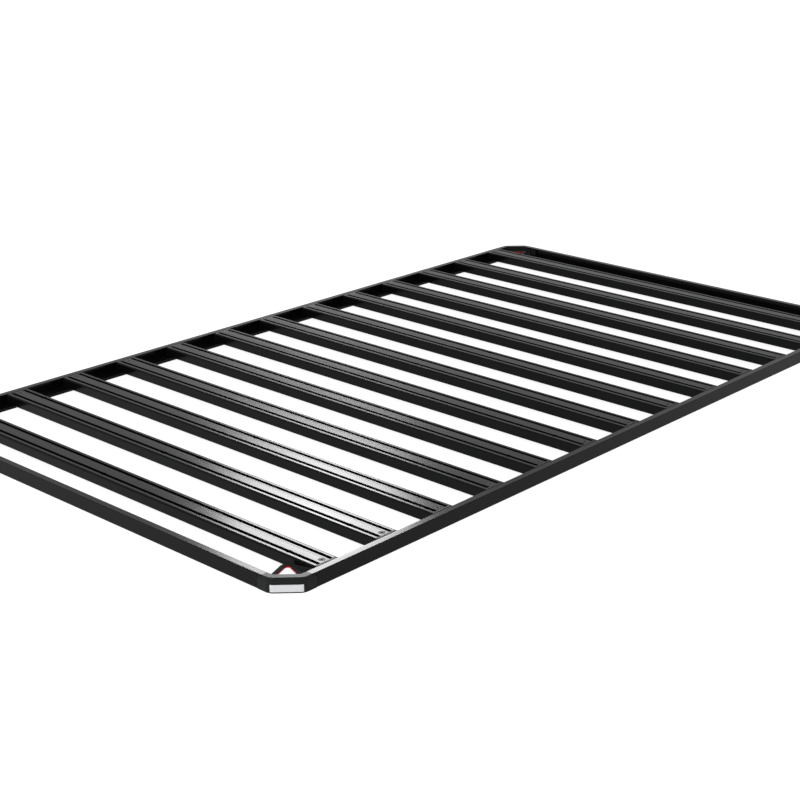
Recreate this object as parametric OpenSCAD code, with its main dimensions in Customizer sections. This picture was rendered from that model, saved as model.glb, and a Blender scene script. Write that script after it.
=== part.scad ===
// Flat platform roof rack: a bolted frame of extruded rails and cast corners,
// with a row of hollow T-slot slats laid flush with the top of the frame.
// Origin at the middle of the underside, +X across, +Y along the length, +Z up, in millimetres.

/* [Platform] */
// Overall width across the slats, outside the side rails
rack_w = 1475; // [1100:5:1600]
// Overall length along the side rails
rack_l = 2605; // [2550:5:2800]
// Height of the rails from underside to top face
rail_h = 37; // [34:0.5:44]

/* [Rails] */
// Width of the rail's top face
rail_top_w = 18; // [16:0.5:24]
// Thickness of the rail's top flange
rail_flange_t = 4; // [3:0.5:5]
// Thickness of the rail's upright web
rail_web_t = 4; // [3:0.5:5]
// How far the ledge that carries the slats reaches inwards past the rail's top face
ledge_reach = 27.5; // [26:0.5:32]
// Height of the ledge's top face above the underside
ledge_h = 8.5; // [7:0.5:11]
// Thickness of the ledge plate and of its turned-down lip
ledge_t = 3.5; // [2.5:0.5:4.5]
// Radius on the rail's outer long edges
rail_edge_r = 1.5; // [0.5:0.25:2]

/* [Slats] */
// Number of slats
slat_count = 13; // [5:1:13]
// Distance from the rack's end to the centre line of the first slat
slat_end_inset = 142.7; // [138:0.1:150]
// Width of a slat
slat_w = 70; // [64:1:80]
// Wall of the slat extrusion
slat_wall = 2.2; // [1.6:0.1:3]
// Radius on the slat's upper long edges
slat_top_r = 4; // [2:0.5:5]
// Radius on the slat's lower long edges
slat_foot_r = 2; // [1:0.5:3]
// Gap between the slat's end cap and the rail's top flange
slat_end_gap = 2.5; // [1:0.5:4]
// Thickness of the slat's end cap outside the extrusion
cap_t = 5; // [3:0.5:6]
// Length of the end cap's plug inside the extrusion
cap_plug = 5; // [3:0.5:6]

/* [T-slots] */
// Distance of each slot's centre from the slat's centre line
slot_offset = 19.3; // [18.5:0.1:20]
// Width of the slot's mouth, for an M8 stem
slot_mouth = 8.2; // [8:0.1:9]
// Thickness of the lips beside the mouth
slot_lip = 2.6; // [2:0.1:3.2]
// Width of the channel under the lips
slot_inner_w = 15.6; // [14:0.2:16.4]
// Height of the channel under the lips
slot_inner_h = 7; // [5.5:0.5:8]
// Diameter of the drop-in hole for a bolt head
drop_in_d = 14; // [12:0.5:15]
// Distance of the inner drop-in holes from the rack's centre line
drop_in_inner = 47; // [30:1:120]
// Distance of the outer drop-in holes from the rack's centre line
drop_in_outer = 618; // [300:1:640]

/* [Slat screws] */
// Distance of a slat screw's axis from the end cap's outer face
screw_setback = 16; // [15:0.5:17.5]
// Diameter of the screw's shank
screw_d = 8; // [6:0.5:8]
// Diameter of the screw's sunk head
screw_head_d = 16.5; // [13:0.5:17]
// Width of the hexagon socket across its flats
screw_socket = 5; // [4:0.5:6]
// Height of the nut plate under the ledge
nut_t = 4; // [3:0.5:4.5]

/* [Corner castings] */
// Reach of a casting's sides along each rail, from the outer corner
corner_reach = 91; // [88:1:100]
// Reach of a casting's top face, where the rail's top flange ends
corner_top_reach = 79; // [77:1:86]
// Length cut from each side by the corner's slanted face
corner_cut = 55; // [50:1:58]
// Radius of the bends between the slanted face and the sides
corner_bend_r = 28; // [26:1:32]
// Wall of the casting, which is open below
corner_wall = 3.5; // [3:0.5:5]
// How far the casting's outer faces lean in at the top
corner_lean = 2.2; // [1:0.2:3]
// Height of the leaning part of the outer faces
corner_lean_h = 14; // [10:0.5:15]
// Length of the tongue that runs into each rail
tongue_l = 21.5; // [16:0.5:30]
// Clearance of the tongue in the rail, above, below and against the web
tongue_gap = 0.3; // [0.2:0.1:0.6]
// Diameter of the screws that hold the tongues
tongue_screw_d = 5; // [4:0.5:6]

/* [Tie-down eyes] */
// Thickness of the eye plate
eye_t = 4; // [3:0.5:6]
// Height of the eye plate's top face above the underside
eye_top = 23; // [20:0.5:26]
// Distance from the outer corner to the unrounded tip of the eye
eye_tip = 165; // [158:1:170]
// Distance from the outer corner to the base of the eye's opening
eye_base = 82; // [76:1:90]
// Angle between the eye's arm and the corner's diagonal
eye_angle = 24.5; // [22:0.25:26]
// Radius of the eye's rounded tip
eye_tip_r = 18.5; // [16:0.5:21]
// Width of the eye's arms
eye_arm = 10.5; // [8:0.5:12]
// Thickness of the liner in the eye
liner_t = 1.5; // [1:0.25:2.5]
// How far the liner stands out of the plate above and below
liner_proud = 0.5; // [0.25:0.25:1.5]

/* [Badge plates] */
// Length of the bare plate, round the slanted face
badge_l = 74; // [50:1:76]
// Height of the bare plate
badge_h = 17; // [12:1:17]
// Height of the plate's middle above the underside
badge_z = 11.5; // [11:0.5:12]
// Thickness of the plate
badge_t = 1.6; // [1.2:0.2:2.4]
// Depth of the recess that the plate sits in
badge_recess = 1.2; // [0.6:0.2:1.6]
// Clearance round the plate in its recess
badge_gap = 0.3; // [0.2:0.1:0.6]

/* [Foot holes] */
// Diameter of the holes for the mounting feet in the side rails' ledges
foot_hole_d = 9; // [8.5:0.5:10]
// Distance from the edge of the rail's top face to the middle of the holes
foot_hole_setback = 12; // [10:0.5:14]
// Gap between slats that has the inner pair of foot holes, counted from the middle
foot_gap_inner = 2; // [1:1:3]
// Gap between slats that has the outer pair of foot holes, counted from the middle
foot_gap_outer = 5; // [4:1:6]

/* [Hidden] */
$fn = 48;
eps = 0.01;
half_w = rack_w / 2;
half_l = rack_l / 2;
ledge_w = rail_top_w + ledge_reach;
slat_pitch = (rack_l - 2 * slat_end_inset) / (slat_count - 1);
slat_h = rail_h - ledge_h;
slat_half_l = half_w - rail_top_w - slat_end_gap - cap_t;
slot_floor = slat_h - slot_lip - slot_inner_h;
web_x = slot_offset - slot_inner_w / 2 - slat_wall;
screw_x = half_w - rail_top_w - slat_end_gap - screw_setback;
foot_hole_x = half_w - rail_top_w - foot_hole_setback;
screw_clear = 0.3;
head_cone_h = (screw_head_d - screw_d) / 2;
bend_t = corner_bend_r * tan(22.5);
cut_mid = corner_cut / sqrt(2);
bend_start = corner_cut + bend_t;
cut_inner = cut_mid + rail_top_w;
tongue_z0 = ledge_h + tongue_gap;
tongue_z1 = rail_h - rail_flange_t - tongue_gap;
tongue_d0 = rail_web_t + tongue_gap;
tongue_d1 = rail_top_w - corner_wall;
tongue_screw_z = (tongue_z0 + tongue_z1) / 2;
tongue_screw_u = corner_reach + tongue_l / 2;
tongue_screw_bite = rail_web_t - 1;
tongue_head_h = 3;
// A bend leans in this much less than the flats, whose leaning faces run this far into it
lean_blend = 0.02;
lean_overlap = 3;
eye_base_r = 7;
CORNERS = ["front_left", "front_right", "rear_left", "rear_right"];

function slat_name(i) = str("slat_", i < 10 ? "0" : "", i);
function slat_y(i) = (i - (slat_count + 1) / 2) * slat_pitch;
SLATS = [for (i = [1 : slat_count]) slat_name(i)];

// Lays a profile drawn in the XY plane upright and runs it along +X
module run_x(length) rotate([90, 0, 90]) linear_extrude(length) children();

// Lays a profile drawn in the XY plane upright and runs it along -Y
module run_back_y(length) rotate([90, 0, 0]) linear_extrude(length) children();

// Puts something drawn for the front left corner, with its outer corner at the origin, in its place
module at_corner(corner) {
    sx = corner == "front_left" || corner == "rear_left" ? -1 : 1;
    sy = corner == "front_left" || corner == "front_right" ? -1 : 1;
    translate([sx * half_w, sy * half_l, 0]) mirror([sx > 0 ? 1 : 0, 0, 0]) mirror([0, sy > 0 ? 1 : 0, 0])
        children();
}

// Rectangle with its own radius at the two lower and the two upper corners, centred on X
module round_bar(w, h, foot_r, top_r) {
    translate([-w / 2, foot_r]) square([w, h - foot_r - top_r]);
    translate([-w / 2 + foot_r, 0]) square([w - 2 * foot_r, h / 2]);
    translate([-w / 2 + top_r, h / 2]) square([w - 2 * top_r, h / 2]);
    for (s = [-1, 1]) {
        translate([s * (w / 2 - foot_r), foot_r]) circle(foot_r);
        translate([s * (w / 2 - top_r), h - top_r]) circle(top_r);
    }
}

// Rail section, with X as the distance inwards from the rail's outer face
module rail_profile() {
    translate([0, rail_edge_r]) square([rail_web_t, rail_h - 2 * rail_edge_r]);
    translate([rail_edge_r, rail_edge_r]) circle(rail_edge_r);
    translate([rail_edge_r, 0]) square([rail_web_t - rail_edge_r, rail_edge_r]);
    translate([rail_edge_r, ledge_h - ledge_t]) square([ledge_w - rail_edge_r, ledge_t]);
    translate([ledge_w - ledge_t, 0]) square([ledge_t, ledge_h]);
    flange_profile();
}

// Top flange of the rail, which runs on over the castings' sides
module flange_profile() {
    translate([0, rail_h - rail_flange_t]) square([rail_top_w, rail_flange_t - rail_edge_r]);
    translate([rail_edge_r, rail_h - rail_edge_r]) circle(rail_edge_r);
    translate([rail_edge_r, rail_h - rail_flange_t]) square([rail_top_w - rail_edge_r, rail_flange_t]);
}

module rail_tongue_holes() {
    translate([tongue_screw_u, rail_web_t - tongue_screw_bite, tongue_screw_z])
        rotate([-90, 0, 0]) cylinder(h = rail_web_t, d = tongue_screw_d);
}

module side_rail() {
    color("#1d1d20") difference() {
        union() {
            translate([-half_w, half_l - corner_reach, 0])
                run_back_y(rack_l - 2 * corner_reach) rail_profile();
            translate([-half_w, half_l - corner_top_reach, 0])
                run_back_y(rack_l - 2 * corner_top_reach) flange_profile();
        }
        for (i = [1 : slat_count])
            translate([-screw_x, slat_y(i), 0]) cylinder(h = ledge_h + 1, d = screw_d + 2 * screw_clear);
        for (g = [foot_gap_inner, foot_gap_outer], s = [-1, 1])
            translate([-foot_hole_x, s * (g - 0.5) * slat_pitch, 0])
                cylinder(h = ledge_h + 1, d = foot_hole_d);
        for (m = [0, 1]) mirror([0, m, 0]) translate([-half_w, -half_l, 0])
            mirror([1, -1, 0]) rail_tongue_holes();
    }
}

module end_rail() {
    color("#1d1d20") difference() {
        union() {
            translate([-half_w + corner_reach, -half_l, 0])
                run_x(rack_w - 2 * corner_reach) rail_profile();
            translate([-half_w + corner_top_reach, -half_l, 0])
                run_x(rack_w - 2 * corner_top_reach) flange_profile();
        }
        for (m = [0, 1]) mirror([m, 0, 0]) translate([-half_w, -half_l, 0]) rail_tongue_holes();
    }
}

// Everything inside the corner's outline set in by a distance, out to a reach on both sides
module corner_area(inset, reach) {
    r = corner_bend_r - inset;
    bend = corner_bend_r - r / sqrt(2);
    intersection() {
        translate([-corner_bend_r, -corner_bend_r]) square(reach + corner_bend_r);
        union() {
            polygon([
                [bend_start, inset], [reach + 1, inset], [reach + 1, reach + 1], [inset, reach + 1],
                [inset, bend_start], [bend, bend_start - r / sqrt(2)], [bend_start - r / sqrt(2), bend]
            ]);
            translate([bend_start, corner_bend_r]) circle(r);
            translate([corner_bend_r, bend_start]) circle(r);
        }
    }
}

// Strip that follows the corner between two distances from its outer face
module corner_strip(from, to, reach) {
    difference() {
        corner_area(from, reach);
        corner_area(to, reach + corner_bend_r);
    }
}

// Body of the casting: a bent box, open below, whose sides reach in under the rails' flanges
module corner_body() {
    difference() {
        union() {
            linear_extrude(rail_h) corner_strip(0, rail_top_w, corner_top_reach);
            linear_extrude(rail_h - rail_flange_t) corner_strip(0, rail_top_w, corner_reach);
        }
        translate([0, 0, -1]) linear_extrude(rail_h - rail_flange_t + 1)
            corner_strip(corner_wall, rail_top_w - corner_wall, corner_top_reach - corner_wall);
    }
}

// Section of what is cut from the outer faces so that they lean in, with X as the distance inwards
module lean_profile() {
    slope = corner_lean / corner_lean_h;
    polygon([[-1, rail_h - corner_lean_h - 1 / slope], [corner_lean + slope, rail_h + 1], [-1, rail_h + 1]]);
}

// Cuts along one side and round its bend
module lean_side() {
    translate([bend_start - lean_overlap, 0, 0])
        run_x(corner_reach + 1 - bend_start + lean_overlap) lean_profile();
    translate([bend_start, corner_bend_r, 0]) rotate([0, 0, -135]) rotate_extrude(angle = 45)
        translate([corner_bend_r + lean_blend, 0]) mirror([1, 0]) lean_profile();
}

module corner_lean_cut() {
    flat = corner_cut * sqrt(2) - 2 * bend_t + 2 * lean_overlap;
    lean_side();
    mirror([1, -1, 0]) lean_side();
    rotate(45) translate([cut_mid, flat / 2, 0]) run_back_y(flat) lean_profile();
}

// Points of an arc, from one angle to another
function arc(centre, r, a0, a1, steps = 8) =
    [for (k = [0 : steps]) centre + r * [cos(a0 + (a1 - a0) * k / steps), sin(a0 + (a1 - a0) * k / steps)]];

// Outline of the eye along the corner's diagonal, with its sides set in by an amount
function eye_outline(inset, base, base_r) =
    let (tip = eye_tip - inset / sin(eye_angle),
         tip_r = max(eye_tip_r - inset, 1),
         tip_c = [tip - tip_r / sin(eye_angle), 0],
         side = (tip - base) * tan(eye_angle),
         base_c = side - base_r * tan(45 + eye_angle / 2),
         turn = 90 - eye_angle)
    concat(
        arc(tip_c, tip_r, -turn, turn, 12),
        arc([base + base_r, base_c], base_r, turn, 180),
        arc([base + base_r, -base_c], base_r, 180, 360 - turn)
    );

module eye_plate() {
    translate([0, 0, eye_top - eye_t]) linear_extrude(eye_t) difference() {
        polygon(concat(
            arc([eye_tip - eye_tip_r / sin(eye_angle), 0], eye_tip_r, eye_angle - 90, 90 - eye_angle, 12),
            [for (s = [1, -1])
                [cut_inner - corner_wall / 2, s * (eye_tip - cut_inner + corner_wall / 2) * tan(eye_angle)]]
        ));
        polygon(eye_outline(eye_arm, eye_base, eye_base_r));
    }
}

// Block of the badge plate on the slanted face, with a margin round it
module badge_solid(depth, margin, front) {
    half = badge_l / 2 + margin;
    translate([0, 0, badge_z - badge_h / 2 - margin]) linear_extrude(badge_h + 2 * margin)
        intersection() {
            corner_strip(-front, depth, corner_reach);
            rotate(45) translate([-cut_mid, -half]) square([3 * cut_mid, 2 * half]);
        }
}

module tongue() {
    translate([corner_reach - corner_wall, tongue_d0, tongue_z0])
        cube([tongue_l + corner_wall, tongue_d1 - tongue_d0, tongue_z1 - tongue_z0]);
}

module tongue_hole() {
    translate([tongue_screw_u, 0, tongue_screw_z]) rotate([-90, 0, 0])
        cylinder(h = rail_top_w, d = tongue_screw_d + 2 * screw_clear);
}

module corner_casting() {
    color("#26272a") difference() {
        union() {
            corner_body();
            rotate(45) eye_plate();
            tongue();
            mirror([1, -1, 0]) tongue();
        }
        corner_lean_cut();
        badge_solid(badge_recess, badge_gap, 1);
        tongue_hole();
        mirror([1, -1, 0]) tongue_hole();
    }
}

module eye_liner() {
    color("#a3162c") rotate(45) translate([0, 0, eye_top - eye_t - liner_proud])
        linear_extrude(eye_t + 2 * liner_proud) difference() {
            polygon(eye_outline(eye_arm, eye_base, eye_base_r));
            polygon(eye_outline(eye_arm + liner_t, eye_base + liner_t, eye_base_r - liner_t));
        }
}

module badge_plate() {
    color("#c9ccd0") badge_solid(badge_recess, 0, badge_t - badge_recess);
}

// Section of a slat: an outer shell, two webs and two T-slots open at the top
module slat_section() {
    chamber_h = slat_h - slot_lip - slat_wall;
    under_h = slot_floor - 2 * slat_wall;
    outer_x = slat_w / 2 - slat_wall;
    side_x = slot_offset + slot_inner_w / 2 + slat_wall;
    difference() {
        round_bar(slat_w, slat_h, slat_foot_r, slat_top_r);
        translate([-web_x, slat_wall]) square([2 * web_x, chamber_h]);
        for (s = [-1, 1]) mirror([s < 0 ? 1 : 0, 0]) {
            translate([web_x + slat_wall, slat_wall]) square([outer_x - web_x - slat_wall, under_h]);
            translate([side_x, slat_wall]) square([outer_x - side_x, slat_h - slat_top_r - slat_wall]);
            translate([slot_offset - slot_inner_w / 2, slot_floor]) square([slot_inner_w, slot_inner_h]);
            translate([slot_offset - slot_mouth / 2, slot_floor]) square([slot_mouth, slat_h]);
        }
    }
}

module slat(i) {
    color("#232427") translate([0, slat_y(i), ledge_h]) difference() {
        translate([-slat_half_l, 0, 0]) run_x(2 * slat_half_l) slat_section();
        for (p = [[-drop_in_outer, 1], [drop_in_inner, 1], [-drop_in_inner, -1], [drop_in_outer, -1]])
            translate([p[0], p[1] * slot_offset, slot_floor + slot_inner_h / 2])
                cylinder(h = slat_h, d = drop_in_d);
        for (s = [-1, 1]) translate([s * screw_x, 0, 0]) {
            translate([0, 0, -1]) cylinder(h = slat_h + 2, d = screw_d + 2 * screw_clear);
            translate([0, 0, slat_h - head_cone_h])
                cylinder(h = head_cone_h + eps, d1 = screw_d + 2 * screw_clear, d2 = screw_head_d + 2 * screw_clear);
        }
    }
}

// End caps of one side: a plate over the slat's end and a plug in its middle chamber
module slat_end_caps() {
    plug_gap = 0.2;
    color("#202124") for (i = [1 : slat_count]) translate([-slat_half_l - cap_t, slat_y(i), ledge_h]) {
        run_x(cap_t) round_bar(slat_w, slat_h, slat_foot_r, slat_top_r);
        translate([cap_t, -web_x + plug_gap, slat_wall + plug_gap])
            cube([cap_plug, 2 * (web_x - plug_gap), slat_h - slot_lip - slat_wall - 2 * plug_gap]);
    }
}

// Sunk screws of one side, each with its nut plate under the ledge
module slat_screws() {
    socket_depth = head_cone_h * 0.7;
    color("#2e2f33") for (i = [1 : slat_count]) translate([-screw_x, slat_y(i), 0]) {
        difference() {
            union() {
                cylinder(h = rail_h - head_cone_h, d = screw_d);
                translate([0, 0, rail_h - head_cone_h])
                    cylinder(h = head_cone_h, d1 = screw_d, d2 = screw_head_d);
            }
            translate([0, 0, rail_h - socket_depth])
                cylinder(h = socket_depth + 1, d = screw_socket / cos(30), $fn = 6);
        }
        translate([0, 0, ledge_h - ledge_t - nut_t]) cylinder(h = nut_t, d = 1.7 * screw_d, $fn = 6);
    }
}

// Socket-head screw of a tongue, driven outwards into the rail's web
module tongue_screw() {
    translate([tongue_screw_u, rail_web_t - tongue_screw_bite, tongue_screw_z]) rotate([-90, 0, 0]) {
        cylinder(h = tongue_screw_bite + tongue_d1 - rail_web_t, d = tongue_screw_d);
        translate([0, 0, tongue_screw_bite + tongue_d1 - rail_web_t]) difference() {
            cylinder(h = tongue_head_h, d = 1.8 * tongue_screw_d);
            translate([0, 0, tongue_head_h / 2])
                cylinder(h = tongue_head_h, d = 0.8 * tongue_screw_d, $fn = 6);
        }
    }
}

module corner_screws(corners) {
    color("#2e2f33") for (c = corners) at_corner(c) {
        tongue_screw();
        mirror([1, -1, 0]) tongue_screw();
    }
}

side_rail();  // side_rail_left
mirror([1, 0, 0]) side_rail();  // side_rail_right
end_rail();  // end_rail_front
mirror([0, 1, 0]) end_rail();  // end_rail_rear
for (c = CORNERS) {
    at_corner(c) corner_casting();
    at_corner(c) eye_liner();
    at_corner(c) badge_plate();
}
for (i = [1 : slat_count]) slat(i);
slat_end_caps();  // slat_end_caps_left
mirror([1, 0, 0]) slat_end_caps();  // slat_end_caps_right
slat_screws();  // slat_screws_left
mirror([1, 0, 0]) slat_screws();  // slat_screws_right
corner_screws(["front_left", "front_right"]);  // corner_screws_front
corner_screws(["rear_left", "rear_right"]);  // corner_screws_rear
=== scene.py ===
"""Looks of the flat platform roof rack: camera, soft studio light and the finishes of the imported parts."""

import math

import bpy
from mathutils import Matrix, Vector


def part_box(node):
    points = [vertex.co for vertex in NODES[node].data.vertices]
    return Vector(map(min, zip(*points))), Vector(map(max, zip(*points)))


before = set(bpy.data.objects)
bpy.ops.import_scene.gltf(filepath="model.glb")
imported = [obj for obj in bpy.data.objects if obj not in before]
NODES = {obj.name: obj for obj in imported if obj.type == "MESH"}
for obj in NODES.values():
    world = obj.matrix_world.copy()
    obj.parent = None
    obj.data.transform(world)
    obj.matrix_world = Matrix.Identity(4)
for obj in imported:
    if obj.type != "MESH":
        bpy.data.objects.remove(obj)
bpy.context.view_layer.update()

# ---------------------------------------------------------------- places, in metres
CAMERA_AT = Vector((3.0255, -3.4340, 1.5880))
CAMERA_AIM = Vector((0.06472, -0.21281, 0.00134))
LENS_MM = 73.25

SLAT_COUNT = 13
slat_low, slat_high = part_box("slat_01")
SLAT_PITCH = abs(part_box("slat_13")[0].y - slat_low.y) / (SLAT_COUNT - 1)
SLAT_HALF_W = (slat_high.y - slat_low.y) / 2

# Distances from a slat's centre line to the middle of each slot and to the fine lines that run along the slat
SLOT_OFFSETS = (-0.0193, 0.0193)
LINE_OFFSETS = (0.009, 0.0305)

# Half widths of the bands painted along a slat, and how far each one fades
# The lip bands beside the slots are made matt and carry painted shade
SHADED_LIP_BAND, SHADED_LIP_FADE = 0.0050, 0.0006
LINE_BAND, LINE_FADE = 0.0004, 0.0004
EDGE_BAND, EDGE_FADE = 0.0035, 0.0006

# Heights at which a finish changes, or painted shade begins
EDGE_BOTTOM, EDGE_TOP = 0.0325, 0.033
CASTING_SHELF, SHELF_FADE = 0.0245, 0.0005
# Above these heights the liner's top is painted dark, as shade under the bracket
LINER_SHADE_BOTTOM, LINER_SHADE_TOP = 0.0223, 0.0227

# ---------------------------------------------------------------- finishes
# Both indices are lower than real ones: under the white background they keep the coat as dark as in the photo
COAT_IOR = 1.17
LINER_IOR = 1.2

RAIL_BLACK = (0.0043, 0.0045, 0.0048)
CAP_BLACK = (0.006, 0.006, 0.0063)
STEEL_BLACK = (0.008, 0.008, 0.0085)
CASTING_BLACK = (0.019, 0.0194, 0.02)
# Painted shade on the slots' lips: darker than the coat, it widens the slots' dark lines
SLOT_LIP_PAINTED_SHADE = (0.0005, 0.0005, 0.0005)
LINER_REDS = (0.70, 0.004, 0.026), (0.82, 0.008, 0.034)
# Painted shade for the liner's top rim
LINER_RIM_PAINTED_SHADE = (0.02, 0.003, 0.004)
PLATE_GREYS = (0.90, 0.91, 0.92), (0.97, 0.97, 0.975)

EXTRUSION_ROUGH = 0.18
EXTRUSION_GRAIN = 0.08
SHELF_ROUGH = 0.75
LINE_ROUGHER, LIP_ROUGHER, EDGE_ROUGHER, RIM_ROUGHER = 0.16, 0.8, 0.4, 0.5

# How the coat's pattern is scaled, so that it is drawn out along a profile
DRAWN_ALONG_X = (0.02, 1, 1)
DRAWN_ALONG_Y = (1, 0.02, 1)
FINE_GRAIN = 900

# ---------------------------------------------------------------- stage
FLOOR_GREY = 0.30
FLOOR_HALF = 30.0
FLOOR_DROP = 0.0005
FLOOR_WHITE = 0.92
WORLD_WHITE = 1.0
WALL_COLOUR = (0.945, 0.98, 1.02)


# ---------------------------------------------------------------- camera
def make_camera():
    data = bpy.data.cameras.new("photo_camera")
    data.sensor_width = 36.0
    data.lens = LENS_MM
    data.clip_start, data.clip_end = 0.05, 100.0
    camera = bpy.data.objects.new("photo_camera", data)
    camera.location = CAMERA_AT
    camera.rotation_mode = "QUATERNION"
    camera.rotation_quaternion = (CAMERA_AIM - CAMERA_AT).to_track_quat("-Z", "Y")
    bpy.context.scene.collection.objects.link(camera)
    bpy.context.scene.camera = camera


# ---------------------------------------------------------------- node helpers
class Shader:
    """A material with its node tree and short calls for the nodes used here."""

    def __init__(self, name):
        self.material = bpy.data.materials.new(name)
        self.material.use_nodes = True
        self.tree = self.material.node_tree
        self.bsdf = self.tree.nodes["Principled BSDF"]
        self.where = self.add("ShaderNodeTexCoord").outputs["Object"]

    def add(self, kind, **settings):
        node = self.tree.nodes.new(kind)
        for key, value in settings.items():
            setattr(node, key, value)
        return node

    def link(self, a, b):
        self.tree.links.new(a, b)

    def stretched(self, scale):
        """Coordinates scaled along each axis: a scale under 1 draws a pattern out."""
        mapping = self.add("ShaderNodeMapping")
        mapping.inputs["Scale"].default_value = scale
        self.link(self.where, mapping.inputs["Vector"])
        return mapping.outputs["Vector"]

    def noise(self, scale, detail=3.0, vector=None):
        node = self.add("ShaderNodeTexNoise")
        node.inputs["Scale"].default_value = scale
        node.inputs["Detail"].default_value = detail
        self.link(vector or self.where, node.inputs["Vector"])
        return node.outputs["Fac"]

    def remap(self, value, lo, hi, from_lo=0.3, from_hi=0.7):
        """value between from_lo and from_hi, taken to lo and hi. The defaults are the range that noise fills."""
        node = self.add("ShaderNodeMapRange")
        self.link(value, node.inputs["Value"])
        for key, number in (("From Min", from_lo), ("From Max", from_hi), ("To Min", lo), ("To Max", hi)):
            node.inputs[key].default_value = number
        return node.outputs["Result"]

    def split(self, vector, axis):
        node = self.add("ShaderNodeSeparateXYZ")
        self.link(vector, node.inputs["Vector"])
        return node.outputs[axis]

    def height(self):
        return self.split(self.where, "Z")

    def math(self, how, a, b):
        node = self.add("ShaderNodeMath", operation=how)
        for socket, value in zip(node.inputs, (a, b)):
            if isinstance(value, (int, float)):
                socket.default_value = value
            else:
                self.link(value, socket)
        return node.outputs["Value"]

    def raised(self, value, mask, amount):
        """value, higher by amount where mask is 1."""
        return self.math("ADD", value, self.math("MULTIPLY", mask, amount))

    def slat_band(self, offset, half, fade):
        """1 along every slat out to half on both sides of a line this far from its centre line, then fading to 0."""
        # half a pitch more than whole pitches puts each slat in the middle of a period, and keeps Y above 0
        across = self.math("ADD", self.split(self.where, "Y"), SLAT_PITCH * 20.5 - offset)
        in_period = self.math("MODULO", across, SLAT_PITCH)
        off = self.math("ABSOLUTE", self.math("SUBTRACT", in_period, SLAT_PITCH / 2), 0)
        return self.remap(off, 1, 0, half, half + fade)

    def mix(self, factor, a, b):
        node = self.add("ShaderNodeMix", data_type="RGBA")
        self.link(factor, node.inputs["Factor"])
        for socket, value in ((node.inputs[6], a), (node.inputs[7], b)):
            if isinstance(value, tuple):
                socket.default_value = (*value, 1.0)
            else:
                self.link(value, socket)
        return node.outputs[2]

    def soft_edges(self, radius):
        node = self.add("ShaderNodeBevel", samples=4)
        node.inputs["Radius"].default_value = radius
        return node.outputs["Normal"]

    def bump(self, height, strength, distance, normal=None):
        node = self.add("ShaderNodeBump")
        node.inputs["Strength"].default_value = strength
        node.inputs["Distance"].default_value = distance
        self.link(height, node.inputs["Height"])
        if normal:
            self.link(normal, node.inputs["Normal"])
        self.link(node.outputs["Normal"], self.bsdf.inputs["Normal"])

    def finish(self, colour, roughness, **values):
        """Links what varies over the surface and sets what doesn't on the shader's own sockets."""
        self.link(colour, self.bsdf.inputs["Base Color"])
        self.link(roughness, self.bsdf.inputs["Roughness"])
        for key, value in values.items():
            self.bsdf.inputs[key].default_value = value
        return self.material


# ---------------------------------------------------------------- materials
def low_level_faces(s, shelf):
    """0.6 to 0.8 on faces below the shelf, by how level they are."""
    below = s.remap(s.height(), 1, 0, shelf - SHELF_FADE, shelf + SHELF_FADE)
    upward = s.split(s.add("ShaderNodeNewGeometry").outputs["Normal"], "Z")
    return s.math("MULTIPLY", below, s.remap(upward, 0, 1, 0.6, 0.8))


def slat_bands(s, colour, gloss):
    """Fine matt lines beside the slots, rougher upper edges, and matt lips beside the slots painted dark as shade,
    which widens the slots' dark lines.
    """
    for offset in LINE_OFFSETS:
        gloss = s.raised(gloss, s.slat_band(offset, LINE_BAND, LINE_FADE), LINE_ROUGHER)
    for edge in (-SLAT_HALF_W, SLAT_HALF_W):
        upper = s.remap(s.height(), 0, EDGE_ROUGHER, EDGE_BOTTOM, EDGE_TOP)
        gloss = s.raised(gloss, s.slat_band(edge, EDGE_BAND, EDGE_FADE), upper)
    for offset in SLOT_OFFSETS:
        # the lips beside each slot are made rougher and painted with dark shade
        shaded_lip = s.slat_band(offset, SHADED_LIP_BAND, SHADED_LIP_FADE)
        gloss = s.raised(gloss, shaded_lip, LIP_ROUGHER)
        colour = s.mix(shaded_lip, colour, SLOT_LIP_PAINTED_SHADE)
    return colour, gloss


def coat_black(name, tone, rough, grain, along=(1, 1, 1), shelf=None, slat=False):
    """Satin black coat: fine orange-peel grain, faint draw lines, cloudy gloss and a little dust tone.

    Level faces below the height shelf are matt, and slat adds what runs along a slat's slots and edges.
    """
    s = Shader(name)
    peel = s.noise(260, vector=s.stretched(along))
    cloud = s.noise(5.5, 4.0)
    dark, light = (tuple(c * share for c in tone) for share in (0.8, 1.25))
    colour = s.mix(s.remap(cloud, 0, 1), dark, light)
    gloss = s.math("ADD", s.remap(cloud, rough - 0.01, rough + 0.015), s.remap(peel, -0.015, 0.015))
    if shelf:
        gloss = s.raised(gloss, low_level_faces(s, shelf), SHELF_ROUGH - rough)
    if slat:
        colour, gloss = slat_bands(s, colour, gloss)
    relief = s.math("ADD", s.math("MULTIPLY", s.noise(FINE_GRAIN, 2.0), 0.06), peel)
    s.bump(relief, grain, 0.00003, s.soft_edges(0.0003))
    return s.finish(colour, gloss, IOR=COAT_IOR)


def red_liner():
    s = Shader("red_liner")
    red = s.mix(s.remap(s.noise(30), 0, 1), *LINER_REDS)
    # the liner's top rim is painted in dark shade, and is made rougher too
    shaded_rim = s.remap(s.height(), 0, 1, LINER_SHADE_BOTTOM, LINER_SHADE_TOP)
    fine = s.noise(FINE_GRAIN, 2.0)
    s.bump(fine, 0.1, 0.0001)
    return s.finish(
        s.mix(shaded_rim, red, LINER_RIM_PAINTED_SHADE),
        s.raised(s.remap(fine, 0.34, 0.44), shaded_rim, RIM_ROUGHER),
        IOR=LINER_IOR,
    )


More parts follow.
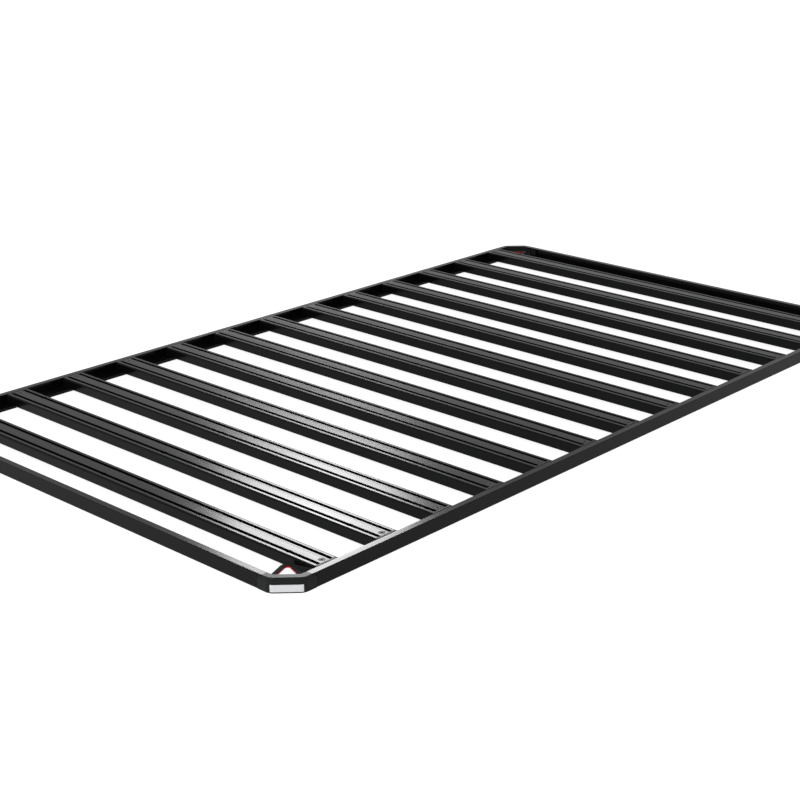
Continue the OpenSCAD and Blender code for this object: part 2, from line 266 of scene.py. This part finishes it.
def brushed_plate():
    s = Shader("brushed_plate")
    lines = s.noise(60, vector=s.stretched((1, 1, 40)))
    s.bump(lines, 0.08, 0.0001)
    return s.finish(s.mix(s.remap(lines, 0, 1), *PLATE_GREYS), s.remap(lines, 0.32, 0.45), Metallic=0.15)


def paint(material, *prefixes):
    """Gives every slot of the nodes whose names start so this material."""
    for name, node in NODES.items():
        if not name.startswith(prefixes):
            continue
        if not node.material_slots:
            node.data.materials.append(material)
        for slot in node.material_slots:
            slot.material = material


# ---------------------------------------------------------------- floor, world and lamps
def background_rays(tree, share):
    """share for camera, glossy and transmission rays, which all see the white background, and 0 for the rest."""
    path = tree.nodes.new("ShaderNodeLightPath")
    total = None
    for kind in ("Is Camera Ray", "Is Glossy Ray", "Is Transmission Ray"):
        part = tree.nodes.new("ShaderNodeMath")
        part.operation = "MULTIPLY_ADD"
        part.inputs[1].default_value = share
        part.inputs[2].default_value = 0.0
        tree.links.new(path.outputs[kind], part.inputs[0])
        if total:
            tree.links.new(total, part.inputs[2])
        total = part.outputs["Value"]
    return total


def make_floor():
    """Plain floor: grey to the light that it hands on, white to the rays that see the background."""
    mesh = bpy.data.meshes.new("floor")
    corners = [(-FLOOR_HALF, -FLOOR_HALF, 0), (FLOOR_HALF, -FLOOR_HALF, 0),
               (FLOOR_HALF, FLOOR_HALF, 0), (-FLOOR_HALF, FLOOR_HALF, 0)]
    mesh.from_pydata(corners, [], [(0, 1, 2, 3)])
    floor = bpy.data.objects.new("floor", mesh)
    floor.location = (0, 0, -FLOOR_DROP)
    bpy.context.scene.collection.objects.link(floor)
    material = bpy.data.materials.new("floor_pale")
    material.use_nodes = True
    tree = material.node_tree
    bsdf = tree.nodes["Principled BSDF"]
    bsdf.inputs["Base Color"].default_value = (FLOOR_GREY, FLOOR_GREY, FLOOR_GREY, 1)
    bsdf.inputs["Roughness"].default_value = 0.9
    glow = tree.nodes.new("ShaderNodeEmission")
    tree.links.new(background_rays(tree, FLOOR_WHITE), glow.inputs["Strength"])
    both = tree.nodes.new("ShaderNodeAddShader")
    tree.links.new(bsdf.outputs["BSDF"], both.inputs[0])
    tree.links.new(glow.outputs["Emission"], both.inputs[1])
    tree.links.new(both.outputs["Shader"], tree.nodes["Material Output"].inputs["Surface"])
    mesh.materials.append(material)


def make_world():
    """Pale wall for the light that it sends, white to the rays that see the background."""
    world = bpy.data.worlds.new("studio")
    bpy.context.scene.world = world
    world.use_nodes = True
    tree = world.node_tree
    wall = tree.nodes["Background"]
    wall.inputs["Color"].default_value = (*WALL_COLOUR, 1)
    # the wall's light is a little dimmer low down
    where = tree.nodes.new("ShaderNodeTexCoord")
    axes = tree.nodes.new("ShaderNodeSeparateXYZ")
    level = tree.nodes.new("ShaderNodeMapRange")
    tree.links.new(where.outputs["Generated"], axes.inputs["Vector"])
    tree.links.new(axes.outputs["Z"], level.inputs["Value"])
    for key, number in (("From Min", 0.26), ("From Max", 0.42), ("To Min", 0.51), ("To Max", 0.64)):
        level.inputs[key].default_value = number
    tree.links.new(level.outputs["Result"], wall.inputs["Strength"])
    white = tree.nodes.new("ShaderNodeBackground")
    white.inputs["Color"].default_value = (1, 1, 1, 1)
    white.inputs["Strength"].default_value = WORLD_WHITE
    both = tree.nodes.new("ShaderNodeMixShader")
    tree.links.new(background_rays(tree, 1.0), both.inputs["Fac"])
    tree.links.new(wall.outputs["Background"], both.inputs[1])
    tree.links.new(white.outputs["Background"], both.inputs[2])
    tree.links.new(both.outputs["Shader"], tree.nodes["World Output"].inputs["Surface"])


def softbox(name, azimuth, elevation, distance, width, height, power):
    """Area lamp that looks at the rack's middle. Azimuth 0 stands it behind the rack, at +Y."""
    a, e = math.radians(azimuth), math.radians(elevation)
    data = bpy.data.lights.new(name, "AREA")
    data.shape = "ELLIPSE"
    data.size, data.size_y = width, height
    data.energy = power
    lamp = bpy.data.objects.new(name, data)
    lamp.location = Vector((-math.sin(a) * math.cos(e), math.cos(a) * math.cos(e), math.sin(e))) * distance
    lamp.rotation_mode = "QUATERNION"
    lamp.rotation_quaternion = (-lamp.location).to_track_quat("-Z", "Y")
    bpy.context.scene.collection.objects.link(lamp)


# ---------------------------------------------------------------- scene
make_camera()
make_world()
make_floor()
softbox("key_softbox", azimuth=49.2, elevation=28.6, distance=7.0, width=1.40, height=1.1, power=100)
softbox("front_softbox", azimuth=195, elevation=15, distance=7.0, width=2.4, height=2.4, power=110)

extrusion = RAIL_BLACK, EXTRUSION_ROUGH, EXTRUSION_GRAIN
paint(coat_black("side_rail_coat", *extrusion, along=DRAWN_ALONG_Y), "side_rail")
paint(coat_black("end_rail_coat", *extrusion, along=DRAWN_ALONG_X), "end_rail")
# the caps and screws come after the slats, because their names start with slat_ too
paint(coat_black("slat_coat", *extrusion, along=DRAWN_ALONG_X, slat=True), "slat_")
paint(coat_black("cap_plastic", CAP_BLACK, 0.32, 0.3), "slat_end_caps")
paint(coat_black("casting_coat", CASTING_BLACK, 0.315, 0.5, shelf=CASTING_SHELF), "corner_casting")
paint(coat_black("black_steel", STEEL_BLACK, 0.33, 0.2), "slat_screws", "corner_screws")
paint(red_liner(), "eye_liner")
paint(brushed_plate(), "badge_plate")

bpy.context.scene.view_settings.view_transform = "Standard"
